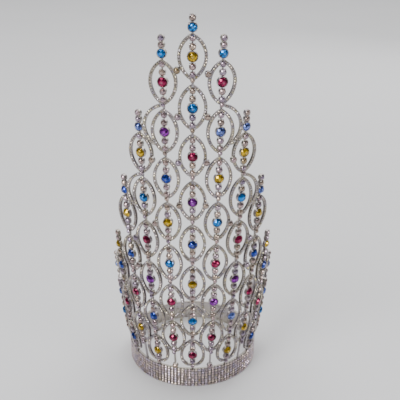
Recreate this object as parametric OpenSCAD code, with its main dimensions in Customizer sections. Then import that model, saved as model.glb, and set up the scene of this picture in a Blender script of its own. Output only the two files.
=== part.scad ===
// Tall rhinestone crown: soldered loop columns on a stone-set band, highest in front and open behind.
// Millimetres, +Z up. The origin is the centre of the head opening, on the surface the band rests on.
// The front of the crown faces -Y. Column 0 is the front one, and the numbers go round towards +X.

/* [Band] */
// Inside diameter of the band, where the head goes
band_inner_d = 147; // [140:0.5:149]
// Outside diameter of the plain ring, behind the stone rows
ring_outer_d = 151.2; // [149:0.2:156]
// Height of the band
band_h = 24; // [16:0.5:30]
// Upright stone rows for each place of a column
rows_per_place = 5; // [3:1:6]
// Width of one upright stone row
row_w = 2.9; // [2:0.1:3.2]
// How far the stone rows stand proud of the ring
row_proud = 1; // [0.5:0.1:1.6]

/* [Columns] */
// Height of one loop from neck to neck
loop_pitch = 49.5; // [46:0.5:52]
// Outside width of a loop
loop_w = 28.2; // [24:0.2:30]
// Length of the bare neck between two loops
neck_len = 2.3; // [1:0.1:4]
// How much lower than the others the top loop of a column ends
top_drop = 2; // [0.5:0.1:3]
// Width of the rhinestone strip
strip_w = 3.2; // [2:0.1:3.6]
// Thickness of the strip's metal
strip_t = 1.8; // [1.2:0.1:2.4]
// Width of the upright wire through the loops
wire_w = 1.4; // [1:0.1:2]
// Width of the necks and of the stalks down to the band
stalk_w = 2; // [1.4:0.1:3]
// Gap left between two columns whose strips touch
column_gap = 0.2; // [0.1:0.05:0.4]

/* [Flare] */
// Radius of the column surface at its lowest neck
foot_r = 74.4; // [72:0.1:75]
// Height of that neck, hidden behind the band's rim
foot_z = 21.1; // [18:0.1:23]
// Outward lean where the crown is straightest, in degrees
waist_lean = 3.8; // [2:0.1:5]
// How fast the lean grows away from there
lean_gain = 0.164; // [0.1:0.002:0.2]
// Height of the straightest place, counted in loops
waist_level = 5.8; // [5:0.1:6.5]

/* [Shoulder arcs] */
// Centre of the arc, sideways from the column's wire
arc_x = -1.5; // [-3:0.1:0]
// Centre of the arc, above the middle of its loop
arc_y = 4.6; // [3:0.1:6]
// Angle at which the arc leaves the neck above its loop
arc_start = 86; // [84:1:90]
// Angle at which the arc ends beside its loop's lower flank
arc_end = -58; // [-60:1:-54]
// Width of the arc's strip
arc_w = 2.6; // [2:0.1:3]
// Gap between the arc and the finial of the next column
arc_gap = 0.3; // [0.2:0.05:0.6]

/* [Stones] */
// Diameter of the coloured stone in a loop
stone_d = 9.6; // [8:0.1:10]
// Diameter of the coloured stone of a finial
finial_stone_d = 8.4; // [7:0.1:9]
// Diameter of a clear stone
crystal_d = 5.6; // [4.5:0.1:6]
// Width of the metal rim of a cup round its stone
cup_rim = 0.55; // [0.4:0.05:0.8]
// How far the cups stand proud of the strip's front
cup_proud = 1.4; // [0.6:0.1:2]
// Depth of the seat that a stone sits in
seat_depth = 2; // [1.2:0.1:2.4]
// Clear stone above and below the coloured one, from the middle of the loop
crystal_step = 9.3; // [8.6:0.1:10]
// Clear stone in the tip of a loop, from its middle
tip_step = 17; // [16:0.1:18]
// Coloured stone of the finial, from the middle of the top loop
finial_rise = 27; // [26.6:0.1:30]
// First clear stone above it
finial_step = 7.8; // [7.6:0.1:9]
// Second clear stone above the first
finial_step_2 = 6.3; // [6.2:0.1:8]

/* [Hidden] */
$fn = 96;

// One row for each place round the band: how many loops its column has, and the colours of its
// stones from the band upward, the finial last. r ruby, a aqua, s sapphire, l light sapphire,
// t topaz, p amethyst. No column stands on the places behind the head.
LOOPS = 0;
COLOURS = 1;
empty_places = 9;
columns = concat(
    [
        [8, "ratsprata"], [7, "rpratlra"], [6, "tlpratl"], [4, "trstl"],
        [3, "srst"], [1, "al"], [2, "trl"], [1, "sa"]
    ],
    [for (n = [1:empty_places]) [0, ""]],
    [
        [1, "sa"], [2, "trl"], [1, "al"], [3, "srst"],
        [4, "trsts"], [6, "tspratl"], [7, "rratspra"]
    ]
);

place_count = len(columns);
turn = 360 / place_count;
standing = [for (k = [0:place_count - 1]) if (columns[k][LOOPS] > 0) k];

// Columns with a shoulder arc, and the side that the arc is on (1 is towards higher numbers)
arcs = [[1, 1], [2, 1], [22, -1], [23, -1]];
// Columns with a clear stone at the foot of their stalk
foot_stones = [1, 23];

// Link cups: the column on their left, the column whose loop they are measured from, that loop,
// and the height above the loop's middle.
LINK_AT = 0;
LINK_COLUMN = 1;
LINK_LOOP = 2;
LINK_UP = 3;
links = [
    [0, 0, 7, -16], [0, 0, 6, -8], [0, 0, 5, -5.6], [0, 0, 4, -3],
    [23, 0, 7, -12.5], [23, 0, 6, -8], [23, 0, 5, -5.6], [23, 0, 4, -3],
    [1, 2, 5, -5], [1, 1, 3, -1.6], [22, 22, 5, -5], [22, 23, 3, -1.6],
    [2, 2, 3, 0], [2, 3, 2, -9], [21, 22, 3, 0], [21, 21, 2, -9]
];

// The nodes of coloured stones, with the letter and the colour of each kind
stone_kinds = [
    ["stones_ruby", "r", "crimson"], ["stones_aqua", "a", "deepskyblue"],
    ["stones_sapphire", "s", "royalblue"], ["stones_light_sapphire", "l", "cornflowerblue"],
    ["stones_topaz", "t", "goldenrod"], ["stones_amethyst", "p", "mediumorchid"]
];

function column_name(k) = str("column_", k < 10 ? "0" : "", k);

half_step = loop_pitch / 2;
// How far a loop's points reach from its middle
loop_tip = half_step - neck_len / 2;
// Space left between solids that meet on the real crown
contact_gap = 0.1;
band_outer_r = ring_outer_d / 2;
// The columns start just above the band
rim_z = band_h + contact_gap;
// How far below its middle the round bottom of a lowest loop reaches
foot_drop = 17.6;
// Middle of the clear stone at the foot of a stalk, above the lowest neck
foot_stone_y = 6.6;
// Loops of a column, counted from the band, that are wider than their share of the ring
crowded_loops = 2;
// The clear stone in the tip of a loop is this much smaller than the others
tip_stone_less = 0.8;
// The one clear stone of the front finial stands this much further up than the others
front_finial_more = 0.6;
// How far joined stretches of metal run into each other
weld = 0.5;

// The column surface: necks are counted in half loops from the band, and a neck is [radius, height].
function lean_at(level) = waist_lean + lean_gain * pow(level - waist_level, 2);
function neck(h) =
    h == 0 ? [foot_r, foot_z]
    : neck(h - 1) + half_step * [sin(lean_at((h - 0.5) / 2)), cos(lean_at((h - 0.5) / 2))];
function lean_between(low, high) = atan2(high[0] - low[0], high[1] - low[1]);
function half_up(k) = k % 2;
function loop_low(k, i) = neck(2 * i + half_up(k));
function loop_high(k, i) = neck(2 * i + 2 + half_up(k));
function loop_count(k) = columns[k % place_count][LOOPS];
function on_band(k, i) = i == 0 && half_up(k) == 0;
function has(list, value) = len([for (entry = list) if (entry == value) entry]) > 0;
function arc_side(k) = let (found = [for (arc = arcs) if (arc[0] == k) arc[1]]) len(found) > 0 ? found[0] : 0;
function clear_finial_heights(k) =
    let (first = finial_rise + finial_step)
    k == 0 ? [first + front_finial_more] : [first, first + finial_step_2];

// Depths across a column, measured outwards from the middle of the strip
back = -strip_t / 2;
cup_front = strip_t / 2 + cup_proud;
seat_floor = cup_front - seat_depth;
girdle_low = cup_front - 0.1;
girdle_high = cup_front + 0.3;

// Outline of a loop with a point above and one below its middle, each as far from it as tip.
// inset moves the outline inwards.
module pointed_loop(tip, inset) {
    r = (pow(tip, 2) + pow(loop_w / 2, 2)) / loop_w;
    intersection_for (side = [-1, 1])
        translate([side * (r - loop_w / 2), 0]) circle(r - inset, $fn = 180);
}

// Outline of the top loop of a column, whose upper half is the shorter one
module top_loop(inset) {
    intersection() {
        pointed_loop(loop_tip - top_drop, inset);
        translate([-loop_w, 0]) square([2 * loop_w, loop_pitch]);
    }
    intersection() {
        pointed_loop(loop_tip, inset);
        translate([-loop_w, -loop_pitch]) square([2 * loop_w, loop_pitch]);
    }
}

// Outline of the lowest loop of a column that stands on the band: a pointed top and a round bottom.
// The bottom circle meets both side arcs smoothly.
module foot_loop(inset) {
    side_r = (pow(loop_tip, 2) + pow(loop_w / 2, 2)) / loop_w;
    side_x = side_r - loop_w / 2;
    round_r = (pow(foot_drop, 2) + pow(side_x, 2) - pow(side_r, 2)) / (2 * (foot_drop - side_r));
    round_y = foot_drop - round_r;
    join_y = -round_y * side_r / (side_r - round_r);
    intersection() {
        pointed_loop(loop_tip, inset);
        union() {
            translate([-loop_w, join_y]) square([2 * loop_w, loop_pitch]);
            translate([0, -round_y]) circle(round_r - inset);
        }
    }
}

// Outline of loop i of column k
module loop_outline(k, i, inset) {
    if (on_band(k, i)) foot_loop(inset);
    else if (i == loop_count(k) - 1) top_loop(inset);
    else pointed_loop(loop_tip, inset);
}

// The shoulder arc beside a loop, as wide as the finial of the next column leaves room for
module shoulder_arc(k) {
    next = k + arc_side(k);
    finial_r = loop_high(next, loop_count(next) - 1)[0];
    outer_r = finial_r * sin(turn) - (finial_stone_d / 2 + cup_rim) * cos(turn) - arc_gap - arc_x;
    mirror([arc_side(k) < 0 ? 1 : 0, 0]) translate([arc_x, arc_y]) intersection() {
        difference() {
            circle(outer_r);
            circle(outer_r - arc_w);
        }
        polygon([[0, 0], for (a = [arc_start, 40, 0, arc_end]) 2 * outer_r * [cos(a), sin(a)]]);
    }
}

// Places its children in the plane of the stretch between two necks. There X runs sideways,
// Y up along the stretch from its lower neck and Z outwards.
module on_plane(low, high) {
    translate([0, -low[0], low[1]]) rotate([90 + lean_between(low, high), 0, 0]) children();
}

module cup(d) {
    translate([0, 0, back]) cylinder(d = d + 2 * cup_rim, h = cup_front - back, $fn = 48);
}

module seat(d) {
    translate([0, 0, seat_floor]) cylinder(d = d + 2 * contact_gap, h = 2 * seat_depth, $fn = 48);
}

// One loop with its wire, necks and cups, its middle at the plane's origin
module loop_metal(k, i) {
    translate([0, 0, back]) linear_extrude(strip_t) {
        difference() {
            loop_outline(k, i, 0);
            loop_outline(k, i, strip_w);
        }
        square([wire_w, 2 * (half_step - neck_len)], center = true);
        for (end = [-1, 1]) translate([0, end * (half_step - neck_len)])
            square([stalk_w, 2 * (neck_len + weld)], center = true);
        if (arc_side(k) != 0 && i == loop_count(k) - 2) shoulder_arc(k);
    }
    cup(stone_d);
    for (y = [-crystal_step, crystal_step]) translate([0, y, 0]) cup(crystal_d);
    lower_tip = on_band(k, i) ? tip_step : -tip_step;
    for (y = [lower_tip, tip_step]) translate([0, y, 0]) cup(crystal_d - tip_stone_less);
}

module loop_seats() {
    seat(stone_d);
    for (y = [-crystal_step, crystal_step]) translate([0, y, 0]) seat(crystal_d);
}

// The stem and cups above the top loop, measured from the middle of that loop
module finial_metal(k) {
    heights = clear_finial_heights(k);
    translate([-wire_w / 2, half_step - neck_len, back])
        cube([wire_w, heights[len(heights) - 1] - half_step + neck_len, strip_t]);
    translate([0, finial_rise, 0]) cup(finial_stone_d);
    for (y = heights) translate([0, y, 0]) cup(crystal_d);
}

module finial_seats(k) {
    translate([0, finial_rise, 0]) seat(finial_stone_d);
    for (y = clear_finial_heights(k)) translate([0, y, 0]) seat(crystal_d);
}

// Low down the loops are wider than their share of the ring. There the strips of the columns
// on stalks end against those of the columns on the band, whose outlines are drawn here.
module neighbour_outlines(k) {
    for (side = [-1, 1], i = [0:crowded_loops - 1]) if (loop_count(k + side) > i)
        rotate([0, 0, side * turn]) on_plane(loop_low(k + side, i), loop_high(k + side, i))
            translate([0, half_step, -2 * cup_front]) linear_extrude(4 * cup_front)
                loop_outline(k + side, i, -column_gap);
}

// One soldered column, built at the front of the crown
module column_metal(k) {
    difference() {
        union() {
            for (i = [0:loop_count(k) - 1])
                on_plane(loop_low(k, i), loop_high(k, i)) translate([0, half_step, 0]) loop_metal(k, i);
            on_plane(loop_low(k, loop_count(k) - 1), loop_high(k, loop_count(k) - 1))
                translate([0, half_step, 0]) finial_metal(k);
            if (half_up(k) == 1) on_plane(neck(0), neck(1)) {
                translate([-stalk_w / 2, 0, back]) cube([stalk_w, half_step + weld, strip_t]);
                if (has(foot_stones, k)) translate([0, foot_stone_y, 0]) cup(crystal_d);
            }
        }
        for (i = [0:loop_count(k) - 1])
            on_plane(loop_low(k, i), loop_high(k, i)) translate([0, half_step, 0]) loop_seats();
        on_plane(loop_low(k, loop_count(k) - 1), loop_high(k, loop_count(k) - 1))
            translate([0, half_step, 0]) finial_seats(k);
        if (has(foot_stones, k))
            on_plane(neck(0), neck(1)) translate([0, foot_stone_y, 0]) seat(crystal_d);
        translate([-loop_w, -2 * foot_r, rim_z - loop_pitch]) cube([2 * loop_w, 2 * foot_r, loop_pitch]);
        if (half_up(k) == 1) neighbour_outlines(k);
    }
}

// One round stone with eight sides: a table, eight crown facets, a girdle and a pavilion.
// Its girdle rests in the cup, just clear of the metal.
module cut_stone(d) {
    r = d / 2;
    floor_z = seat_floor + contact_gap;
    table_r = 0.52 * r;
    table_z = girdle_high + 0.5 * r;
    culet_r = 0.55 * r;
    rotate([0, 0, 22.5]) rotate_extrude($fn = 8) polygon([
        [0, floor_z],
        [culet_r, floor_z],
        [r, girdle_low],
        [r, girdle_high],
        [table_r, table_z],
        [0, table_z]
    ]);
}

// All the coloured stones of one kind
module coloured_stones(letter) {
    for (k = standing) rotate([0, 0, k * turn]) {
        colours = columns[k][COLOURS];
        for (i = [0:loop_count(k) - 1]) if (colours[i] == letter)
            on_plane(loop_low(k, i), loop_high(k, i)) translate([0, half_step, 0]) cut_stone(stone_d);
        if (colours[loop_count(k)] == letter)
            on_plane(loop_low(k, loop_count(k) - 1), loop_high(k, loop_count(k) - 1))
                translate([0, half_step + finial_rise, 0]) cut_stone(finial_stone_d);
    }
}

// Places its children on a link: halfway between two columns, just in front of both strips
module at_link(link) {
    low = loop_low(link[LINK_COLUMN], link[LINK_LOOP]);
    high = loop_high(link[LINK_COLUMN], link[LINK_LOOP]);
    clear_of_strips = strip_t + 2 * contact_gap;
    spread = 1 / cos(turn / 2);
    rotate([0, 0, (link[LINK_AT] + 0.5) * turn])
        on_plane([low[0] * spread, low[1]], [high[0] * spread, high[1]])
            translate([0, half_step + link[LINK_UP], clear_of_strips]) children();
}

module link_cups() {
    color("silver") for (link = links) at_link(link) difference() {
        cup(crystal_d);
        seat(crystal_d);
    }
}

// The clear stones that are solids of their own: finials, links and stalk feet
module crystal_stones() {
    for (k = standing) rotate([0, 0, k * turn]) {
        on_plane(loop_low(k, loop_count(k) - 1), loop_high(k, loop_count(k) - 1))
            for (y = clear_finial_heights(k)) translate([0, half_step + y, 0]) cut_stone(crystal_d);
        if (has(foot_stones, k))
            on_plane(neck(0), neck(1)) translate([0, foot_stone_y, 0]) cut_stone(crystal_d);
    }
    for (link = links) at_link(link) cut_stone(crystal_d);
}

// The ring with its upright stone rows
module base_band() {
    rows = place_count * rows_per_place;
    bulge_r = (pow(row_proud, 2) + pow(row_w / 2, 2)) / (2 * row_proud);
    color("lightgray") difference() {
        linear_extrude(band_h) {
            circle(band_outer_r, $fn = 240);
            for (n = [0:rows - 1]) rotate(n * 360 / rows)
                translate([0, -(band_outer_r + row_proud - bulge_r)]) circle(bulge_r, $fn = 32);
        }
        translate([0, 0, -1]) cylinder(d = band_inner_d, h = band_h + 2, $fn = 240);
    }
}

base_band();
for (k = standing)
    color("silver") rotate([0, 0, k * turn]) column_metal(k);
for (kind = stone_kinds)
    color(kind[2]) coloured_stones(kind[1]);
color("whitesmoke") crystal_stones();  // stones_crystal
link_cups();
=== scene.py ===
"""Rhinestone crown: sets the stones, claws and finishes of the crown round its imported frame.

The frame holds the band, the soldered columns and the cups. This file adds what is too fine for
solids: the seed stones of every strip with their settings, the band's stones, the clear stones
inside the loops, the claws and the solder. It also recuts the coloured stones with more facets.
All lengths are metres, and all bare angles degrees.
"""

import math
import random

import bmesh
import bpy
from bpy.props import FloatProperty, FloatVectorProperty, IntProperty, PointerProperty
from bpy.types import Operator, Panel, PropertyGroup
from mathutils import Matrix, Vector


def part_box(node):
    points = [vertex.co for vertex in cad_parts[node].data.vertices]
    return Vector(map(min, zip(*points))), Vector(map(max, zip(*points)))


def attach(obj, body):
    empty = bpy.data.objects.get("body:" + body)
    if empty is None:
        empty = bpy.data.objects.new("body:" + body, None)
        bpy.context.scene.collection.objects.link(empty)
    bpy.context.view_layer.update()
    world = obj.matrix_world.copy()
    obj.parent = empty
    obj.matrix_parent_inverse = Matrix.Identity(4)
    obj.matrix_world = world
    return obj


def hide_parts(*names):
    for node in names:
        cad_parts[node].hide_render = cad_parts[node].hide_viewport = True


bl_info = {
    "name": "Rhinestone Crown",
    "version": (1, 0, 0),
    "blender": (4, 5, 0),
    "location": "3D View > Sidebar > Crown",
    "description": "Sets the stones, claws and finishes of a tall rhinestone crown round its frame",
    "category": "Object",
}

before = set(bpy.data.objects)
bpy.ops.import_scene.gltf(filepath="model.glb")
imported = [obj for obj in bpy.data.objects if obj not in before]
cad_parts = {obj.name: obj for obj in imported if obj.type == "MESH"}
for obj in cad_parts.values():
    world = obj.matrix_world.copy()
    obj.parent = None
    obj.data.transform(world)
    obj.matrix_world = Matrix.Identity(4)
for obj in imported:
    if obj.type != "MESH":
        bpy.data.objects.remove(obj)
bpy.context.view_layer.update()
BAND_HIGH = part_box("base_band")[1]
BODY = "root"

# Plan of the frame: these values are those of the solids. First the foot of the column surface,
# and the loops on it
FOOT_R = 0.0744
FOOT_Z = 0.0211
LOOP_PITCH = 0.0495
LOOP_W = 0.0282
NECK_LEN = 0.0023
STRIP_W = 0.0032
STRIP_T = 0.0018
# How far a loop on the band reaches below its middle, and how much lower a top loop ends
FOOT_DROP = 0.0176
TOP_DROP = 0.002
# Outward lean of the columns at the waist, how it grows, and the waist's level in loops
WAIST_LEAN = 3.8
LEAN_GAIN = 0.164
WAIST_LEVEL = 5.8
# Extra strip arc at a column's shoulder
ARC_CENTRE = (-0.0015, 0.0046)
ARC_START = 86
ARC_END = -58
ARC_W = 0.0026
ARC_GAP = 0.0003
# Stones and cups, and their heights from the middle of a loop
STONE_D = 0.0096
FINIAL_STONE_D = 0.0084
CRYSTAL_D = 0.0056
CUP_RIM = 0.00055
CRYSTAL_STEP = 0.0093
TIP_STEP = 0.017
FINIAL_RISE = 0.027
FINIAL_STEP = 0.0078
FINIAL_STEP_2 = 0.0063
FRONT_FINIAL_MORE = 0.0006
FOOT_STONE_Y = 0.0066
LINK_DEPTH = 0.002
CUP_PROUD = 0.0014
SEAT_DEPTH = 0.002
CONTACT_GAP = 0.0001
CUP_FRONT = STRIP_T / 2 + CUP_PROUD
SEAT_FLOOR = CUP_FRONT - SEAT_DEPTH + CONTACT_GAP
# Lower and upper edge of a stone's girdle
GIRDLE_LOW = CUP_FRONT - 0.0001
GIRDLE_HIGH = CUP_FRONT + 0.0003
# How many of the lowest loops of a column on the band cut back the columns beside it
CROWDED_LOOPS = 2
# Upright rows of stones on the band, for each place
RIBS_PER_PLACE = 5
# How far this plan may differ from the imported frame
PLAN_TOLERANCE = 0.005

# Clear stones inside the loops, which aren't solids: beside the coloured stone, and near the points
LOOP_CRYSTAL_D = 0.0063
TIP_STONE_D = 0.0056
# Facets of one row of a cut stone, and half the angle that one of them takes
FACETS = 8
HALF_FACET = 180 / FACETS
# How near two strips count as met, and how finely a strip is searched for such places
MEETING_MARGIN = 0.0006
MEETING_STEP = 0.0006
# How far the stones of a shoulder arc stay from the loops
ARC_MARGIN = 0.0012
# Height of the plain rim on top of the band
BAND_RIM_H = 0.0006
# How deep the cups of the band's stones sit in its ribs, and how far they reach back
BAND_CUP_SUNK = 0.0005
BAND_CUP_DEPTH = 0.0008
# Mesh operators are coarse below a millimetre, so shapes are cut at this many times their size.
BENCH = 1000.0

# One row for each place round the band: how many loops its column has, and the colours of its
# stones from the band upward, the finial last. r ruby, a aqua, s sapphire, l light sapphire,
# t topaz, p amethyst. No column stands on the places behind the head.
EMPTY_PLACES = 9
COLUMNS = [
    (8, "ratsprata"), (7, "rpratlra"), (6, "tlpratl"), (4, "trstl"),
    (3, "srst"), (1, "al"), (2, "trl"), (1, "sa"),
    *[(0, "")] * EMPTY_PLACES,
    (1, "sa"), (2, "trl"), (1, "al"), (3, "srst"), (4, "trsts"), (6, "tspratl"), (7, "rratspra"),
]
STANDING = [column for column, (count, _) in enumerate(COLUMNS) if count]
ARC_SIDES = {1: 1, 2: 1, 22: -1, 23: -1}
FOOT_STONES = (1, 23)
# Link cups: the column on their left, the column and the loop that they are measured from, and the
# height above that loop's middle.
LINKS = [
    (0, 0, 7, -0.016), (0, 0, 6, -0.008), (0, 0, 5, -0.0056), (0, 0, 4, -0.003),
    (23, 0, 7, -0.0125), (23, 0, 6, -0.008), (23, 0, 5, -0.0056), (23, 0, 4, -0.003),
    (1, 2, 5, -0.005), (1, 1, 3, -0.0016), (22, 22, 5, -0.005), (22, 23, 3, -0.0016),
    (2, 2, 3, 0.0), (2, 3, 2, -0.009), (21, 22, 3, 0.0), (21, 21, 2, -0.009),
]
# The coloured stone, as column and loop, whose claws are above, below and beside it
SQUARE_SET_STONE = (0, 7)
# Links whose clear stone is yellowish
YELLOW_LINKS = (4,)
STONE_KINDS = {
    "r": ("ruby", "stones_ruby", "ruby_glass"),
    "a": ("aqua", "stones_aqua", "aqua_glass"),
    "s": ("sapphire", "stones_sapphire", "sapphire_glass"),
    "l": ("light_sapphire", "stones_light_sapphire", "light_sapphire_glass"),
    "t": ("topaz", "stones_topaz", "topaz_glass"),
    "p": ("amethyst", "stones_amethyst", "amethyst_glass"),
}

# Radii and angles that follow from the plan
TURN = 360 / len(COLUMNS)
HALF_STEP = LOOP_PITCH / 2
TIP_Y = HALF_STEP - NECK_LEN / 2
SIDE_R = (TIP_Y**2 + (LOOP_W / 2) ** 2) / LOOP_W
SIDE_X = SIDE_R - LOOP_W / 2
TOP_SIDE_R = ((TIP_Y - TOP_DROP) ** 2 + (LOOP_W / 2) ** 2) / LOOP_W
TOP_SIDE_X = TOP_SIDE_R - LOOP_W / 2
ROUND_R = (FOOT_DROP**2 + SIDE_X**2 - SIDE_R**2) / (2 * (FOOT_DROP - SIDE_R))
ROUND_Y = FOOT_DROP - ROUND_R
JOIN_ANGLE = math.degrees(math.atan2(ROUND_Y, SIDE_X))
JOIN_Y = -SIDE_R * math.sin(math.radians(JOIN_ANGLE))


class CrownSizes(PropertyGroup):
    """Sizes of the fine pieces"""

    seed_d: FloatProperty(
        name="Seed stone", description="Diameter of a stone in the strips",
        default=0.00245, unit="LENGTH",
    )
    seed_pitch: FloatProperty(
        name="Seed pitch", description="Distance between the stones along a strip",
        default=0.00275, unit="LENGTH",
    )
    band_stone_d: FloatProperty(
        name="Band stone", description="Diameter of a stone on the band",
        default=0.003, unit="LENGTH",
    )
    band_cup_w: FloatProperty(
        name="Band cup", description="Width of the cup of a stone on the band",
        default=0.00398, unit="LENGTH",
    )
    band_stones: IntProperty(
        name="Band stones", description="Stones in one upright row of the band", default=7,
    )
    claw_w: FloatProperty(
        name="Claw width", description="Width of a claw that holds a coloured stone",
        default=0.0005, unit="LENGTH",
    )
    vertex_stone_d: FloatProperty(
        name="Vertex stone", description="Diameter of the stone over the lower point of a loop",
        default=0.0043, unit="LENGTH",
    )


class CrownColours(PropertyGroup):
    """Colours of the glass and the plating"""

    ruby: FloatVectorProperty(
        name="Ruby", description="Colour of the red stones", subtype="COLOR", size=3,
        default=(0.35, 0.004, 0.08), min=0, max=1,
    )
    aqua: FloatVectorProperty(
        name="Aqua", description="Colour of the azure stones", subtype="COLOR", size=3,
        default=(0.006, 0.22, 0.68), min=0, max=1,
    )
    sapphire: FloatVectorProperty(
        name="Sapphire", description="Colour of the deep blue stones", subtype="COLOR", size=3,
        default=(0.022, 0.07, 0.46), min=0, max=1,
    )
    light_sapphire: FloatVectorProperty(
        name="Light sapphire", description="Colour of the paler blue stones",
        subtype="COLOR", size=3, default=(0.16, 0.24, 0.7), min=0, max=1,
    )
    topaz: FloatVectorProperty(
        name="Topaz", description="Colour of the golden stones", subtype="COLOR", size=3,
        default=(0.6, 0.38, 0.006), min=0, max=1,
    )
    amethyst: FloatVectorProperty(
        name="Amethyst", description="Colour of the violet stones", subtype="COLOR", size=3,
        default=(0.29, 0.019, 0.42), min=0, max=1,
    )
    champagne: FloatVectorProperty(
        name="Warm plating", description="Warm end of the plating's colour",
        subtype="COLOR", size=3, default=(0.86, 0.79, 0.69), min=0, max=1,
    )
    lilac: FloatVectorProperty(
        name="Cool plating", description="Cool end of the plating's colour",
        subtype="COLOR", size=3, default=(0.8, 0.73, 0.78), min=0, max=1,
    )


class CrownStage(PropertyGroup):
    """Camera, floor and light"""

    camera_back: FloatProperty(
        name="Camera distance", description="Camera's distance in front of the crown's axis",
        default=0.7563, unit="LENGTH",
    )
    camera_up: FloatProperty(
        name="Camera height", description="Camera's height above the floor",
        default=0.519, unit="LENGTH",
    )
    camera_pitch: FloatProperty(
        name="Camera pitch", description="How far the camera looks down",
        default=math.radians(22.66), unit="ROTATION", subtype="ANGLE",
    )
    lens: FloatProperty(
        name="Lens", description="Focal length in millimetres on a 36 mm sensor", default=63.86,
    )
    shift: FloatProperty(
        name="Shift", description="Sideways shift of the view", default=0.0185,
    )
    floor_colour: FloatVectorProperty(
        name="Floor", description="Colour of the floor", subtype="COLOR", size=3,
        default=(0.62, 0.62, 0.63), min=0, max=1,
    )


def sizes():
    return bpy.context.scene.crown_sizes


def colours():
    return bpy.context.scene.crown_colours


# Plan of the columns


def lean_at(level):
    """Outward lean of the column surface in degrees, level counted in loops from the band."""
    return WAIST_LEAN + LEAN_GAIN * (level - WAIST_LEVEL) ** 2


def neck(halves):
    """Radius and height of the column surface, counted in half loops from its lowest neck."""
    radius, height = FOOT_R, FOOT_Z
    for step in range(halves):
        lean = math.radians(lean_at((step + 0.5) / 2))
        radius += HALF_STEP * math.sin(lean)
        height += HALF_STEP * math.cos(lean)
    return radius, height


def plane(column, low, high, spread=1.0):
    """Matrix of the flat stretch between two necks: X sideways, Y up along it, Z outwards."""
    lean = math.atan2(spread * (high[0] - low[0]), high[1] - low[1])
    return (
        Matrix.Rotation(math.radians(column * TURN), 4, "Z")
        @ Matrix.Translation((0, -low[0] * spread, low[1]))
        @ Matrix.Rotation(math.radians(90) + lean, 4, "X")
    )


def loop_plane(column, loop):
    """The plane of one loop, with its origin at the loop's middle."""
    low = 2 * loop + column % 2
    return plane(column, neck(low), neck(low + 2)) @ Matrix.Translation((0, HALF_STEP, 0))


def stands_on_band(column, loop):
    """Whether a loop is the lowest of a column without a stalk."""
    return loop == 0 and column % 2 == 0


def strip_arcs(column, loop):
    """The middle line of a loop's strip: arcs as (centre, radius, first angle, last angle)."""
    on_top = loop == COLUMNS[column][0] - 1
    upper_x, upper_r = (TOP_SIDE_X, TOP_SIDE_R) if on_top else (SIDE_X, SIDE_R)
    upper_r -= STRIP_W / 2
    upper_tip = math.degrees(math.acos(upper_x / upper_r))
    radius = SIDE_R - STRIP_W / 2
    tip = math.degrees(math.acos(SIDE_X / radius))
    if stands_on_band(column, loop):
        lower = [
            ((-SIDE_X, 0), radius, 0, -JOIN_ANGLE),
            ((0, -ROUND_Y), ROUND_R - STRIP_W / 2, -JOIN_ANGLE, JOIN_ANGLE - 180),
            ((SIDE_X, 0), radius, 180 + JOIN_ANGLE, 180),
        ]
    else:
        lower = [((-SIDE_X, 0), radius, 0, -tip), ((SIDE_X, 0), radius, 180 + tip, 180)]
    right = ((-upper_x, 0), upper_r, upper_tip, 0)
    left = ((upper_x, 0), upper_r, 180, 180 - upper_tip)
    return [right, *lower, left]


def shoulder_arc(column):
    """The middle line of the extra strip beside a column's last loop but one."""
    side = ARC_SIDES[column]
    beyond = column + side
    finial_r = neck(2 * COLUMNS[beyond][0] + beyond % 2)[0]
    turn = math.radians(TURN)
    reach = finial_r * math.sin(turn) - (FINIAL_STONE_D / 2 + CUP_RIM) * math.cos(turn) - ARC_GAP
    radius = reach - ARC_CENTRE[0] - ARC_W / 2
    centre = (side * ARC_CENTRE[0], ARC_CENTRE[1])
    if side > 0:
        return [(centre, radius, ARC_START, ARC_END)]
    return [(centre, radius, 180 - ARC_START, 180 - ARC_END)]


def walk(arcs, pitch, closed):
    """Places at equal steps along a chain of arcs, each as x, y and the angle of travel."""
    lengths = [radius * math.radians(abs(last - first)) for _, radius, first, last in arcs]
    steps = round(sum(lengths) / pitch)
    for step in range(steps if closed else steps + 1):
        along = step * sum(lengths) / steps
        for (centre, radius, first, last), length in zip(arcs, lengths):
            if along <= length:
                break
            along -= length
        angle = first + (last - first) * min(along / length, 1)
        x = centre[0] + radius * math.cos(math.radians(angle))
        y = centre[1] + radius * math.sin(math.radians(angle))
        yield x, y, math.radians(angle)


def inside_loop(x, y, round_foot, margin):
    """Whether a point of a loop's plane lies inside the loop's outer outline."""
    inside = max(math.hypot(x - SIDE_X, y), math.hypot(x + SIDE_X, y)) < SIDE_R + margin
    if round_foot and y < JOIN_Y:
        inside = inside and math.hypot(x, y + ROUND_Y) < ROUND_R + margin
    return inside


def met_by_neighbour(column, point):
    """Whether a column on a band loop covers this point of a column on a stalk."""
    if column % 2 == 0:
        return False
    for beside in (column - 1, (column + 1) % len(COLUMNS)):
        for loop in range(min(CROWDED_LOOPS, COLUMNS[beside][0])):
            local = loop_plane(beside, loop).inverted() @ point
            if inside_loop(local.x, local.y, stands_on_band(beside, loop), MEETING_MARGIN):
                return True
    return False


def meeting_places(column):
    """Where the strips of a column on a stalk end against those beside it."""
    for loop in range(COLUMNS[column][0]):
        base = loop_plane(column, loop)
        steps = walk(strip_arcs(column, loop), MEETING_STEP, True)
        places = [base @ Matrix.Translation((x, y, 0)) for x, y, _ in steps]
        met = [met_by_neighbour(column, place.translation) for place in places]
        met_before = met[-1:] + met[:-1]
        yield from (place for place, now, before in zip(places, met, met_before) if now != before)


def vertex_y(column, loop):
    """Height of the small stone over a loop's lower point, from the loop's middle."""
    lowest = FOOT_DROP if stands_on_band(column, loop) else TIP_Y
    return STRIP_W / 2 - lowest


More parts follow.
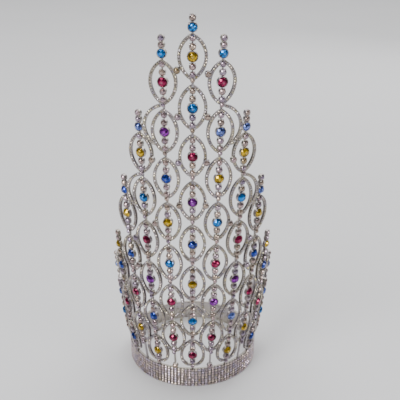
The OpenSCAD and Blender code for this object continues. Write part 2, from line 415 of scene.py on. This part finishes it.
def on_strip(base, x, y, angle):
    """A place on the front of a strip, turned to the strip's run."""
    return base @ Matrix.Translation((x, y, STRIP_T / 2)) @ Matrix.Rotation(angle, 4, "Z")


def seed_places(column):
    """Places of a column's seed stones, on the front of its strips. Y runs along the strip."""
    count = COLUMNS[column][0]
    clear_of_vertex = (sizes().vertex_stone_d + sizes().seed_d) / 2
    for loop in range(count):
        base = loop_plane(column, loop)
        for x, y, angle in walk(strip_arcs(column, loop), sizes().seed_pitch, True):
            place = on_strip(base, x, y, angle)
            under_vertex_stone = math.hypot(x, y - vertex_y(column, loop)) < clear_of_vertex
            if not under_vertex_stone and not met_by_neighbour(column, place.translation):
                yield place
        if column in ARC_SIDES and loop == count - 2:
            for x, y, angle in walk(shoulder_arc(column), sizes().seed_pitch, False):
                beside_loop = inside_loop(x, y, False, ARC_MARGIN)
                under_loop = inside_loop(x, y - LOOP_PITCH, False, ARC_MARGIN)
                if not beside_loop and not under_loop:
                    yield on_strip(base, x, y, angle)


def coloured_places():
    """The coloured stones as (letter, diameter, place)."""
    for column in STANDING:
        count, letters = COLUMNS[column]
        for loop in range(count):
            yield letters[loop], STONE_D, loop_plane(column, loop)
        finial = loop_plane(column, count - 1) @ Matrix.Translation((0, FINIAL_RISE, 0))
        yield letters[count], FINIAL_STONE_D, finial


def finial_crystal_heights(column):
    """Heights of a finial's clear stones, from the middle of the top loop."""
    first = FINIAL_RISE + FINIAL_STEP
    if column == 0:
        return [first + FRONT_FINIAL_MORE]
    return [first, first + FINIAL_STEP_2]


def finial_crystal_places(column):
    """The clear stones above a column's coloured finial stone, and the one at its stalk's foot."""
    top = loop_plane(column, COLUMNS[column][0] - 1)
    heights = finial_crystal_heights(column)
    places = [top @ Matrix.Translation((0, height, 0)) for height in heights]
    if column in FOOT_STONES:
        places.append(plane(column, neck(0), neck(1)) @ Matrix.Translation((0, FOOT_STONE_Y, 0)))
    return places


def link_places():
    """The clear stones that bridge two columns."""
    spread = 1 / math.cos(math.radians(TURN / 2))
    for left, column, loop, up in LINKS:
        low = 2 * loop + column % 2
        base = plane(left + 0.5, neck(low), neck(low + 2), spread)
        yield base @ Matrix.Translation((0, HALF_STEP + up, LINK_DEPTH))


def loop_crystals(column):
    """The clear stones inside the loops of a column, as (diameter, place)."""
    for loop in range(COLUMNS[column][0]):
        base = loop_plane(column, loop)
        for y in (-CRYSTAL_STEP, CRYSTAL_STEP):
            yield LOOP_CRYSTAL_D, base @ Matrix.Translation((0, y, 0))
        yield TIP_STONE_D, base @ Matrix.Translation((0, TIP_STEP, 0))
        if not stands_on_band(column, loop):
            yield TIP_STONE_D, base @ Matrix.Translation((0, -TIP_STEP, 0))
        over_strip = Matrix.Translation((0, vertex_y(column, loop), STRIP_T / 2 - SEAT_FLOOR))
        yield sizes().vertex_stone_d, base @ over_strip


# Shapes


def lifted(height, turned):
    """Matrix on the bench: raised to a height and turned."""
    turn = Matrix.Rotation(math.radians(turned), 4, "Z")
    return Matrix.Translation((0, 0, height * BENCH)) @ turn


def ring(bm, sides, radius, height, turned=0.0):
    """Loose ring of points."""
    bmesh.ops.create_circle(
        bm, cap_ends=False, segments=sides, radius=radius * BENCH, matrix=lifted(height, turned),
    )


def disc(bm, sides, foot_r, top_r, foot_z, top_z, turned=0.0):
    """Closed round or many-sided body between two heights."""
    return bmesh.ops.create_cone(
        bm, cap_ends=True, segments=sides, radius1=foot_r * BENCH, radius2=top_r * BENCH,
        depth=(top_z - foot_z) * BENCH, matrix=lifted((foot_z + top_z) / 2, turned),
    )["verts"]


def close_hull(bm):
    """Joins loose rings of points into one closed faceted body."""
    bmesh.ops.convex_hull(bm, input=bm.verts[:], use_existing_faces=False)
    bmesh.ops.dissolve_limit(bm, angle_limit=math.radians(1), verts=bm.verts[:], edges=bm.edges[:])
    bmesh.ops.recalc_face_normals(bm, faces=bm.faces[:])


def template(bm, radius):
    """A mesh to be copied. Each point remembers where it is on its own stone, in stone radii."""
    local = bm.verts.layers.float_vector.new("local")
    bm.verts.layers.float.new("luck")
    bmesh.ops.scale(bm, vec=(1 / BENCH, 1 / BENCH, 1 / BENCH), verts=bm.verts[:])
    for vert in bm.verts:
        vert[local] = vert.co / radius
    mesh = bpy.data.meshes.new("template")
    bm.to_mesh(mesh)
    bm.free()
    return mesh


def brilliant(d):
    """Round stone: an eight-sided table, eight stars, eight kites and sixteen girdle facets."""
    r = d / 2
    foot_r = 0.55 * r
    table_r = 0.52 * r
    star_r = 0.77 * r
    table_z = GIRDLE_HIGH + 0.5 * r
    kite_reach = (star_r * math.cos(math.radians(HALF_FACET)) - table_r) / (r - table_r)
    star_z = table_z - (table_z - GIRDLE_HIGH) * kite_reach
    bm = bmesh.new()
    ring(bm, FACETS, foot_r, SEAT_FLOOR)
    ring(bm, 2 * FACETS, r, GIRDLE_LOW)
    ring(bm, 2 * FACETS, r, GIRDLE_HIGH)
    ring(bm, FACETS, star_r, star_z, HALF_FACET)
    ring(bm, FACETS, table_r, table_z)
    close_hull(bm)
    return template(bm, r)


def seed_stone(d):
    """Small eight-sided stone, seated at the height 0."""
    r = d / 2
    foot_r = 0.8 * r
    table_r = 0.56 * r
    girdle_z = 0.26 * d
    table_z = 0.44 * d
    bm = bmesh.new()
    ring(bm, FACETS, foot_r, CONTACT_GAP, HALF_FACET)
    ring(bm, FACETS, r, girdle_z, HALF_FACET)
    ring(bm, FACETS, table_r, table_z, HALF_FACET)
    close_hull(bm)
    return template(bm, r)


def block(bm, size, foot, top_scale, top_shift=(0, 0, 0)):
    """Upright block standing on the point foot. Its top is scaled about its middle and moved."""
    size = Vector(size) * BENCH
    foot = Vector(foot) * BENCH
    middle = foot + Vector((0, 0, size.z / 2))
    place = Matrix.Translation(middle) @ Matrix.Diagonal((*size, 1))
    verts = bmesh.ops.create_cube(bm, size=1, matrix=place)["verts"]
    top = [vert for vert in verts if vert.co.z > middle.z]
    centre = Matrix.Translation((-foot.x, -foot.y, 0))
    bmesh.ops.scale(bm, vec=(top_scale, top_scale, 1), space=centre, verts=top)
    bmesh.ops.translate(bm, vec=Vector(top_shift) * BENCH, verts=top)
    return verts


def seed_setting(across, along, back, sides, prong_reach):
    """Cup of one seed stone with four prongs, right in its corners for a prong_reach of 1."""
    corner_r = across / 2 / math.cos(math.pi / sides)
    foot_r = 0.98 * corner_r
    rim_r = 0.95 * corner_r
    rim_z = 0.0006
    prong = 0.00052
    prong_h = 0.0007
    prong_z = 0.0003
    taper = 0.6
    lean = 0.00014
    bm = bmesh.new()
    body = disc(bm, sides, foot_r, rim_r, -back, rim_z, 180 / sides)
    bmesh.ops.scale(bm, vec=(1, along / across, 1), verts=body)
    for side in (-1, 1):
        for end in (-1, 1):
            x = side * prong_reach * (across - prong) / 2
            y = end * prong_reach * (along - prong) / 2
            inwards = (-side * lean, -end * lean, 0)
            block(bm, (prong, prong, prong_h), (x, y, prong_z), taper, inwards)
    return template(bm, across / 2)


def setting_back(across):
    """Low round stud: the back of a seed's cup, on the inside of the crown."""
    back_r = 0.3 * across
    front_r = 0.42 * across
    depth = 0.0004
    bm = bmesh.new()
    disc(bm, 8, back_r, front_r, -STRIP_T - depth, -STRIP_T)
    return template(bm, across / 2)


def claws(d, first_angle=45):
    """Four claws round one large stone, each a strap with a tip that leans over its edge."""
    r = d / 2
    width = sizes().claw_w * (0.5 + 0.5 * d / STONE_D)
    thick = 0.0005
    tip_h = 0.0006
    overhang = 0.0003
    strap_taper = 0.9
    tip_taper = 0.7
    strap_h = GIRDLE_HIGH + STRIP_T / 2
    strap_foot = (0, r + CUP_RIM, -STRIP_T / 2)
    tip_foot = (0, r + CUP_RIM, GIRDLE_HIGH - CONTACT_GAP)
    tip_size = (strap_taper * width, strap_taper * thick, tip_h)
    inwards = (0, -CUP_RIM - overhang, 0)
    bm = bmesh.new()
    for number in range(4):
        strap = block(bm, (width, thick, strap_h), strap_foot, strap_taper)
        tip = block(bm, tip_size, tip_foot, tip_taper, inwards)
        turned = Matrix.Rotation(math.radians(first_angle + number * 90), 3, "Z")
        bmesh.ops.rotate(bm, cent=(0, 0, 0), matrix=turned, verts=strap + tip)
    return template(bm, r)


def small_cup(d):
    """Plain round cup for a stone that sits in front of the strips."""
    r = d / 2
    foot_r = 0.8 * r
    wall = 0.00035
    bm = bmesh.new()
    disc(bm, 16, foot_r, r + wall, SEAT_FLOOR, CUP_FRONT)
    return template(bm, r)


def solder_bead(long, wide):
    """Smooth drop of solder, a little thicker than the strips. long and wide are its radii."""
    proud = 0.0003
    bm = bmesh.new()
    bmesh.ops.create_uvsphere(bm, u_segments=10, v_segments=6, radius=1)
    radii = Vector((wide, long, STRIP_T / 2 + proud)) * BENCH
    bmesh.ops.scale(bm, vec=radii, verts=bm.verts[:])
    return template(bm, long)


def set_copies(bm, mesh, places, chance, wobble=0.0, luck=None):
    """Adds a copy of the template to bm at each place, leaning out of true by up to wobble degrees.

    Each copy has a luck number: its own, or the one given.
    """
    for place in places:
        copy = mesh.copy()
        for axis in "XY":
            lean = math.radians(chance.uniform(-wobble, wobble))
            place = place @ Matrix.Rotation(lean, 4, axis)
        copy.transform(place)
        drawn = chance.random() if luck is None else luck
        copy.attributes["luck"].data.foreach_set("value", [drawn] * len(copy.vertices))
        bm.from_mesh(copy)
        bpy.data.meshes.remove(copy)


def finish_piece(bm, name, material, smooth=False):
    """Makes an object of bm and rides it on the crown."""
    mesh = bpy.data.meshes.new(name)
    bm.to_mesh(mesh)
    bm.free()
    mesh.polygons.foreach_set("use_smooth", [smooth] * len(mesh.polygons))
    mesh.materials.append(material)
    piece = bpy.data.objects.new(name, mesh)
    bpy.context.scene.collection.objects.link(piece)
    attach(piece, BODY)
    return piece


# Finishes

# Colours of the clear stones in white light, and of what their back facets mirror
CLEAR_YELLOW = (0.78, 0.68, 0.2)
CLEAR_CREAM = (0.97, 0.9, 0.74)
CLEAR_ROSE = (0.98, 0.84, 0.84)
CLEAR_LILAC = (0.85, 0.82, 1.0)
DARK_BROWN = (0.2, 0.15, 0.13)
DARK_VIOLET = (0.13, 0.1, 0.2)
BLACK = (0.0, 0.0, 0.0)


class Value:
    """An output in a shader tree. Python's operators on a number add Math nodes."""

    def __init__(self, finish, socket):
        self.finish = finish
        self.socket = socket

    def math(self, operation, *others):
        inputs = dict(enumerate([self, *others]))
        return self.finish.node("ShaderNodeMath", {"operation": operation}, inputs)

    def reflected(self, operation, other):
        return self.finish.node("ShaderNodeMath", {"operation": operation}, {0: other, 1: self})

    def __add__(self, other):
        return self.math("ADD", other)

    def __sub__(self, other):
        return self.math("SUBTRACT", other)

    def __mul__(self, other):
        return self.math("MULTIPLY", other)

    def __truediv__(self, other):
        return self.math("DIVIDE", other)

    def __pow__(self, other):
        return self.math("POWER", other)

    def __radd__(self, other):
        return self.reflected("ADD", other)

    def __rsub__(self, other):
        return self.reflected("SUBTRACT", other)

    def __rmul__(self, other):
        return self.reflected("MULTIPLY", other)

    def __rtruediv__(self, other):
        return self.reflected("DIVIDE", other)

    def axis(self, name):
        """X, Y or Z of a vector."""
        return self.finish.node("ShaderNodeSeparateXYZ", {}, {0: self}, name)

    def clamp(self, low=0.0, high=1.0):
        return self.finish.node("ShaderNodeClamp", {}, {"Value": self, "Min": low, "Max": high})

    def step(self, low, high):
        """0 below low, 1 above high, and smooth between them."""
        settings = {"interpolation_type": "SMOOTHSTEP"}
        return self.finish.node("ShaderNodeMapRange", settings, {"Value": self, 1: low, 2: high})


class Finish:
    """A material under construction, with one Principled shader."""

    def __init__(self, name, **constants):
        self.material = bpy.data.materials.new(name)
        self.material.use_nodes = True
        self.tree = self.material.node_tree
        self.shader = self.tree.nodes["Principled BSDF"]
        for socket, value in constants.items():
            self.shader.inputs[socket.replace("_", " ")].default_value = value

    def node(self, kind, settings, inputs, output=0):
        """Adds a node, sets it, fills its inputs with values or links, and returns one output."""
        made = self.tree.nodes.new(kind)
        for name, value in settings.items():
            setattr(made, name, value)
        for name, value in inputs.items():
            self.fill(made.inputs[name], value)
        return Value(self, made.outputs[output])

    def fill(self, socket, value):
        if isinstance(value, Value):
            self.tree.links.new(value.socket, socket)
        else:
            socket.default_value = value

    def feed(self, socket, value):
        self.fill(self.shader.inputs[socket], value)

    def object_place(self):
        return self.node("ShaderNodeTexCoord", {}, {}, "Object")

    def stretched(self, scale):
        return self.node("ShaderNodeMapping", {}, {"Vector": self.object_place(), "Scale": scale})

    def noise(self, scale, detail, vector=None):
        inputs = {"Vector": vector or self.object_place(), "Scale": scale, "Detail": detail}
        return self.node("ShaderNodeTexNoise", {}, inputs)

    def attribute(self, name, output="Fac"):
        return self.node("ShaderNodeAttribute", {"attribute_name": name}, {}, output)

    def mix(self, factor, low, high):
        """The colour low where the factor is 0, and high where it is 1."""
        return self.node("ShaderNodeMix", {"data_type": "RGBA"}, {0: factor, 6: low, 7: high}, 2)

    def bump(self, height, strength, distance):
        inputs = {"Height": height, "Strength": strength, "Distance": distance}
        self.feed("Normal", self.node("ShaderNodeBump", {}, inputs))


def rgba(colour, scale=1.0):
    return (*(channel * scale for channel in colour), 1.0)


def under(cast, colour):
    """A colour as it looks under light of the given cast."""
    return (*(light * channel for light, channel in zip(cast, colour)), 1.0)


def plating_tint(finish, shade):
    """Silver colour that drifts from champagne to lilac over some centimetres."""
    drift = finish.noise(26.0, 2.0).step(0.36, 0.64)
    return finish.mix(drift, rgba(colours().champagne, shade), rgba(colours().lilac, shade))


def plated_metal(name, roughness, darkening, shade, shaded_above=1.0):
    """Plating with dull patches and fine scratches, and darker above the height shaded_above, a
    painted shade on the band's top rim.
    """
    finish = Finish(name, Metallic=1.0, Coat_Weight=0.1, Coat_Roughness=0.12)
    fade = 0.0003
    # Painted shade: the band's top rim is darkened so that it doesn't show a bright reflection.
    rim = finish.object_place().axis("Z").step(shaded_above - fade, shaded_above)
    dull = (finish.noise(170.0, 5.0).step(0.54, 0.7) + rim).clamp()
    dark_plating = rgba(colours().champagne, 0.5 * shade)
    grain = finish.noise(2400.0, 4.0)
    worn = finish.noise(620.0, 2.0, finish.stretched((1.0, 1.0, 0.12)))
    finish.feed("Base Color", finish.mix(dull * darkening, plating_tint(finish, shade), dark_plating))
    finish.feed("Roughness", (roughness + 0.16 * grain + 0.14 * dull - 0.06).clamp(0.05, 0.8))
    finish.bump(grain * 0.5 + worn * 0.5, 0.22, 0.00006)
    return finish.material


def setting_metal(name, shade, shaded_below):
    """Stamped settings, with painted shade: dark between the stones, bright behind and above the
    height shaded_below.

    Heights are in radii of the setting's own stone.
    """
    finish = Finish(name, Metallic=1.0)
    luck = finish.attribute("luck")
    height = finish.attribute("local", "Vector").axis("Z")
    # Painted shade: deep is the dark colour of the gaps between the stones, where shade falls.
    deep = finish.mix(luck, rgba(colours().lilac, 0.14), rgba(colours().champagne, 0.26))
    raised = height.step(shaded_below, shaded_below + 0.28)
    behind = 1 - height.step(-0.9, -0.2)
    bright = (raised + behind).clamp()
    finish.feed("Base Color", finish.mix(bright, deep, plating_tint(finish, shade)))
    finish.feed("Roughness", (0.34 - 0.14 * raised + 0.1 * luck).clamp(0.08, 0.8))
    grain = finish.noise(3000.0, 2.0)
    finish.bump(grain, 0.15, 0.00004)
    return finish.material


def facet_glints(finish, wedges, rings):
    """Light and dark fields from 0 to 1, as a stone's mirrored back facets show them.

    Also returns the distance from the stone's middle, in its radii, and its luck number.
    """
    local = finish.attribute("local", "Vector")
    luck = finish.attribute("luck")
    x = local.axis("X")
    y = local.axis("Y")
    radial = (x * x + y * y) ** 0.5
    angle = y.math("ARCTAN2", x) / (2 * math.pi) + luck
    band = (radial * rings).math("FLOOR")
    wedge = (angle * wedges + band * 0.5).math("FLOOR")
    wrapped = wedge.math("FLOORED_MODULO", wedges)
    cell = finish.node("ShaderNodeCombineXYZ", {}, {0: wrapped, 1: band, 2: luck * 37.0})
    return finish.node("ShaderNodeTexWhiteNoise", {}, {"Vector": cell}, "Value"), radial, luck


def coloured_glass(name, colour):
    """Foil-backed glass with painted reflections: dark and bright fields of one colour, a painted
    highlight in its heart and a paler rim, and a faint painted glow.
    """
    finish = Finish(
        name, Metallic=0.85, Roughness=0.07, Coat_Weight=0.3, Coat_Roughness=0.03,
        Emission_Strength=0.12,
    )
    glint, radial, luck = facet_glints(finish, wedges=8, rings=2.6)
    body = finish.mix(glint ** 1.4, rgba(colour, 0.12), rgba(colour, 1.1))
    pale = tuple(0.75 * channel + 0.2 for channel in colour)
    # Painted highlight: a pale heart, and a paler rim that is a painted reflection.
    heart = (1 - radial.step(0.08, 0.34)) * (0.25 + 0.5 * luck)
    lit = finish.mix(heart, body, rgba(pale))
    rim = radial.step(0.86, 0.98) * 0.3
    cloud = finish.noise(900.0, 2.0).step(0.3, 0.75)
    finish.feed("Base Color", finish.mix(rim * cloud, lit, rgba(pale)))
    # Painted glow: the bright fields shine by themselves, though the glass is no lamp.
    finish.feed("Emission Color", finish.mix(glint, rgba(colour, 0.1), rgba(colour)))
    finish.bump(finish.noise(1400.0, 1.0), 0.05, 0.00005)
    return finish.material


def crystal_glass(name, wedges, rings, strength, roughness, cast):
    """Clear foil-backed glass, each stone a little warmer, pinker or more lilac than the next. Its
    glints, dark heart and darker stones are painted reflections, and its brightest glints glow.

    strength is how much the glints darken it, and cast the colour of the light on it.
    """
    finish = Finish(
        name, Metallic=0.8, Roughness=roughness, Coat_Weight=0.35, Coat_Roughness=roughness / 2,
        Emission_Strength=0.4,
    )
    glint, radial, luck = facet_glints(finish, wedges, rings)
    cream = finish.mix(luck.step(0.0, 0.04), under(cast, CLEAR_YELLOW), under(cast, CLEAR_CREAM))
    rosy = finish.mix(luck.step(0.15, 0.5), cream, under(cast, CLEAR_ROSE))
    tint = finish.mix(luck.step(0.55, 0.9), rosy, under(cast, CLEAR_LILAC))
    dark = finish.mix(luck, rgba(DARK_BROWN), rgba(DARK_VIOLET))
    # Painted reflections: a darker heart, and some stones darker all over as if they mirrored
    # something dark.
    heart = (1 - radial.step(0.12, 0.42)) * 0.7
    mirrored_brightness = 0.55 + 0.45 * (luck * 7.0).math("FRACT").step(0.15, 0.5)
    shaded = ((1 - strength + strength * glint - heart * (1 - glint)) * mirrored_brightness).clamp()
    finish.feed("Base Color", finish.mix(shaded, dark, tint))
    # Painted sparkle: the brightest glints glow, though the glass is no lamp.
    finish.feed("Emission Color", finish.mix((glint * mirrored_brightness) ** 6.0, rgba(BLACK), tint))
    finish.bump(finish.noise(1600.0, 1.0), 0.05, 0.00004)
    return finish.material


def floor_finish():
    """Pale matt floor with the faintest cloudiness."""
    finish = Finish("stage_floor", Roughness=0.75)
    base = bpy.context.scene.crown_stage.floor_colour
    cloud = finish.noise(3.0, 4.0)
    finish.feed("Base Color", finish.mix(cloud, rgba(base, 0.97), rgba(base, 1.03)))
    finish.bump(finish.noise(220.0, 3.0), 0.04, 0.0004)
    return finish.material


# The finishes that several pieces share: how each is made, and its details
FINISHES = {
    "frame_plating": (plated_metal, {"roughness": 0.32, "darkening": 0.55, "shade": 0.46}),
    "band_plating": (plated_metal, {
        "roughness": 0.38, "darkening": 0.85, "shade": 0.62, "shaded_above": BAND_HIGH.z - BAND_RIM_H,
    }),
    # The strips' settings are painted darker than the band's: painted shade that offsets the bright
    # floor which the outward-leaning strips mirror.
    "settings_plating": (setting_metal, {"shade": 0.63, "shaded_below": 0.2}),
    "band_settings_plating": (setting_metal, {"shade": 0.95, "shaded_below": 0.2}),
    "clear_cut": (crystal_glass, {
        "wedges": 8, "rings": 2.4, "strength": 0.75, "roughness": 0.07, "cast": (0.5, 0.41, 0.38),
    }),
    # The strips' seeds get a darker painted light than the band's seeds, for the same reason.
    "strip_seed_cut": (crystal_glass, {
        "wedges": 4, "rings": 1.6, "strength": 0.5, "roughness": 0.12, "cast": (0.6, 0.59, 0.48),
    }),
    "band_seed_cut": (crystal_glass, {
        "wedges": 4, "rings": 1.6, "strength": 0.5, "roughness": 0.18, "cast": (0.86, 0.76, 0.77),
    }),
}


def shared(name):
    """One of the finishes above, made on its first use."""
    make, details = FINISHES[name]
    return bpy.data.materials.get(name) or make(name, **details)


# Operators


class CROWN_OT_plate_frame(Operator):
    """Give the band, the columns and the link cups their plated finish"""

    bl_idname = "crown.plate_frame"
    bl_label = "Plate the frame"

    def execute(self, context):
        top = (loop_plane(0, COLUMNS[0][0] - 1) @ Vector((0, finial_crystal_heights(0)[-1], 0))).z
        if abs(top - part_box("column_00")[1].z) > PLAN_TOLERANCE:
            raise RuntimeError("the plan of the columns differs from the frame")
        for name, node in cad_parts.items():
            if name.startswith("column_") or name == "link_cups":
                node.material_slots[0].material = shared("frame_plating")
        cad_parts["base_band"].material_slots[0].material = shared("band_plating")
        return {"FINISHED"}


class CROWN_OT_set_column_seeds(Operator):
    """Set the seed stones along the strips of every column, with their settings"""

    bl_idname = "crown.set_column_seeds"
    bl_label = "Set the strips' stones"

    def execute(self, context):
        chance = random.Random(7)
        across = STRIP_W + 2 * CONTACT_GAP
        along = sizes().seed_pitch - 2 * CONTACT_GAP
        stone = seed_stone(sizes().seed_d)
        setting = seed_setting(across, along, back=STRIP_T + CONTACT_GAP, sides=4, prong_reach=1.0)
        stud = setting_back(across)
        for column in STANDING:
            places = list(seed_places(column))
            stones = bmesh.new()
            set_copies(stones, stone, places, chance, wobble=8)
            name = f"seed_stones_{column:02d}"
            finish_piece(stones, name, shared("strip_seed_cut"))
            metal = bmesh.new()
            set_copies(metal, setting, places, chance)
            set_copies(metal, stud, places, chance)
            name = f"seed_settings_{column:02d}"
            finish_piece(metal, name, shared("settings_plating"))
        return {"FINISHED"}


class CROWN_OT_set_band_stones(Operator):
    """Set the upright rows of stones on the band"""

    bl_idname = "crown.set_band_stones"
    bl_label = "Set the band's stones"

    def execute(self, context):
        chance = random.Random(11)
        ribs = RIBS_PER_PLACE * len(COLUMNS)
        cup_back = BAND_HIGH.x - BAND_CUP_SUNK
        pitch = BAND_HIGH.z / sizes().band_stones
        places = []
        for rib in range(ribs):
            turn = Matrix.Rotation(math.radians(rib * 360 / ribs), 4, "Z")
            for row in range(sizes().band_stones):
                place = Matrix.Translation((0, -cup_back, (row + 0.5) * pitch))
                places.append(turn @ place @ Matrix.Rotation(math.radians(90), 4, "X"))
        stones = bmesh.new()
        set_copies(stones, seed_stone(sizes().band_stone_d), places, chance, wobble=5)
        finish_piece(stones, "band_stones", shared("band_seed_cut"))
        across = sizes().band_cup_w
        along = pitch - CONTACT_GAP
        setting = seed_setting(across, along, back=BAND_CUP_DEPTH, sides=8, prong_reach=0.74)
        metal = bmesh.new()
        set_copies(metal, setting, places, chance)
        finish_piece(metal, "band_settings", shared("band_settings_plating"))
        return {"FINISHED"}


class CROWN_OT_set_loop_crystals(Operator):
    """Set the clear stones inside the loops"""

    bl_idname = "crown.set_loop_crystals"
    bl_label = "Set the loops' clear stones"

    def execute(self, context):
        chance = random.Random(23)
        vertex_d = sizes().vertex_stone_d
        cuts = {d: brilliant(d) for d in (LOOP_CRYSTAL_D, TIP_STONE_D, vertex_d)}
        holders = {d: claws(d) for d in (LOOP_CRYSTAL_D, TIP_STONE_D)}
        holders[vertex_d] = small_cup(vertex_d)
        for column in STANDING:
            stones = bmesh.new()
            metal = bmesh.new()
            for d, place in loop_crystals(column):
                set_copies(stones, cuts[d], [place], chance, wobble=2.5)
                set_copies(metal, holders[d], [place], chance)
            name = f"loop_crystals_{column:02d}"
            finish_piece(stones, name, shared("clear_cut"))
            name = f"loop_claws_{column:02d}"
            finish_piece(metal, name, shared("settings_plating"))
        return {"FINISHED"}


class CROWN_OT_recut_coloured_stones(Operator):
    """Replace the coloured stones by full cuts of the same size, held by claws"""

    bl_idname = "crown.recut_coloured_stones"
    bl_label = "Recut the coloured stones"

    def execute(self, context):
        chance = random.Random(31)
        cuts = {d: brilliant(d) for d in (STONE_D, FINIAL_STONE_D)}
        for letter, (colour_name, node, slot) in STONE_KINDS.items():
            stones = bmesh.new()
            for kind, d, place in coloured_places():
                if kind == letter:
                    set_copies(stones, cuts[d], [place], chance, wobble=2)
            glass = coloured_glass(f"{colour_name}_cut", getattr(colours(), colour_name))
            piece = finish_piece(stones, f"{colour_name}_stones", glass)
            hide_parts(node)
        metal = bmesh.new()
        square_set = loop_plane(*SQUARE_SET_STONE)
        for _, d, place in coloured_places():
            first_angle = 0 if place == square_set else 45
            set_copies(metal, claws(d, first_angle), [place], chance)
        finish_piece(metal, "coloured_stone_claws", shared("settings_plating"))
        return {"FINISHED"}


class CROWN_OT_recut_crystals(Operator):
    """Replace the clear stones of the finials, links and stalk feet by full cuts, held by claws"""

    bl_idname = "crown.recut_crystals"
    bl_label = "Recut the clear stones"

    def execute(self, context):
        chance = random.Random(41)
        cut = brilliant(CRYSTAL_D)
        places = [place for column in STANDING for place in finial_crystal_places(column)]
        links = list(link_places())
        yellow = [links.pop(number) for number in YELLOW_LINKS]
        stones = bmesh.new()
        set_copies(stones, cut, places + links, chance, wobble=2.5)
        set_copies(stones, cut, yellow, chance, wobble=2.5, luck=0.0)
        places += links + yellow
        name = "finial_and_link_crystals"
        piece = finish_piece(stones, name, shared("clear_cut"))
        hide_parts("stones_crystal")
        metal = bmesh.new()
        set_copies(metal, claws(CRYSTAL_D), places, chance)
        finish_piece(metal, "finial_and_link_claws", shared("settings_plating"))
        return {"FINISHED"}


class CROWN_OT_add_solder(Operator):
    """Add the drops of solder on the necks and where neighbouring strips meet"""

    bl_idname = "crown.add_solder"
    bl_label = "Add the solder"

    def execute(self, context):
        chance = random.Random(53)
        up_to_neck = Matrix.Translation((0, HALF_STEP, 0))
        necks = [
            loop_plane(column, loop) @ up_to_neck
            for column in STANDING for loop in range(COLUMNS[column][0] - 1)
        ]
        joints = [place for column in STANDING for place in meeting_places(column)]
        metal = bmesh.new()
        set_copies(metal, solder_bead(long=0.0017, wide=0.0016), necks, chance)
        set_copies(metal, solder_bead(long=0.0012, wide=0.0012), joints, chance)
        finish_piece(metal, "solder", shared("frame_plating"), smooth=True)
        return {"FINISHED"}


# Stage: how far the floor reaches, what the lights aim at, and each light's place, width and power
FLOOR_REACH = 6
LIGHT_AIM = (0, 0, 0.2)
SOFTBOXES = {
    "key_light": ((-1.0, -1.3, 1.5), 0.9, 34.0),
    "fill_light": ((1.4, -1.1, 0.7), 0.5, 9.0),
    "back_light": ((0.9, 1.5, 1.2), 1.6, 12.0),
    "ceiling_light": ((0.0, 1.8, 4.2), 7.0, 420.0),
}
SKY_COLOUR = (0.8, 0.81, 0.83)
SKY_STRENGTH = 0.2


class CROWN_OT_set_stage(Operator):
    """Add the floor, the soft lights and the camera"""

    bl_idname = "crown.set_stage"
    bl_label = "Set the stage"

    def execute(self, context):
        stage = context.scene.crown_stage
        bm = bmesh.new()
        bmesh.ops.create_grid(bm, x_segments=1, y_segments=1, size=FLOOR_REACH)
        mesh = bpy.data.meshes.new("floor")
        bm.to_mesh(mesh)
        bm.free()
        mesh.materials.append(floor_finish())
        floor = bpy.data.objects.new("floor", mesh)
        context.scene.collection.objects.link(floor)

        camera = bpy.data.objects.new("camera", bpy.data.cameras.new("camera"))
        camera.data.lens = stage.lens
        camera.data.shift_x = stage.shift
        camera.location = (0, -stage.camera_back, stage.camera_up)
        camera.rotation_euler = (math.radians(90) - stage.camera_pitch, 0, 0)
        context.scene.collection.objects.link(camera)
        context.scene.camera = camera

        for name, (place, width, power) in SOFTBOXES.items():
            data = bpy.data.lights.new(name, "AREA")
            data.shape = "SQUARE"
            data.size = width
            data.energy = power
            light = bpy.data.objects.new(name, data)
            light.location = place
            towards_crown = Vector(LIGHT_AIM) - light.location
            light.rotation_euler = towards_crown.to_track_quat("-Z", "Y").to_euler()
            context.scene.collection.objects.link(light)

        world = bpy.data.worlds.new("studio")
        world.use_nodes = True
        sky = world.node_tree.nodes["Background"]
        sky.inputs["Color"].default_value = rgba(SKY_COLOUR)
        sky.inputs["Strength"].default_value = SKY_STRENGTH
        context.scene.world = world
        return {"FINISHED"}


STEPS = (
    CROWN_OT_plate_frame,
    CROWN_OT_set_column_seeds,
    CROWN_OT_set_band_stones,
    CROWN_OT_set_loop_crystals,
    CROWN_OT_recut_coloured_stones,
    CROWN_OT_recut_crystals,
    CROWN_OT_add_solder,
    CROWN_OT_set_stage,
)


class CROWN_PT_panel(Panel):
    """The steps of the crown's making, in their order"""

    bl_idname = "CROWN_PT_panel"
    bl_label = "Rhinestone Crown"
    bl_space_type = "VIEW_3D"
    bl_region_type = "UI"
    bl_category = "Crown"

    def draw(self, context):
        for group in GROUPS:
            settings = getattr(context.scene, group)
            for name in settings.__annotations__:
                self.layout.prop(settings, name)
        for step in STEPS:
            self.layout.operator(step.bl_idname)


GROUPS = {"crown_sizes": CrownSizes, "crown_colours": CrownColours, "crown_stage": CrownStage}


def register():
    for item in (*GROUPS.values(), *STEPS, CROWN_PT_panel):
        bpy.utils.register_class(item)
    for name, group in GROUPS.items():
        setattr(bpy.types.Scene, name, PointerProperty(type=group))


def unregister():
    for name in GROUPS:
        delattr(bpy.types.Scene, name)
    for item in reversed((*GROUPS.values(), *STEPS, CROWN_PT_panel)):
        bpy.utils.unregister_class(item)


def main():
    """Makes the crown in order."""
    register()
    for step in STEPS:
        family, name = step.bl_idname.split(".")
        getattr(getattr(bpy.ops, family), name)()


if __name__ == "__main__":
    main()
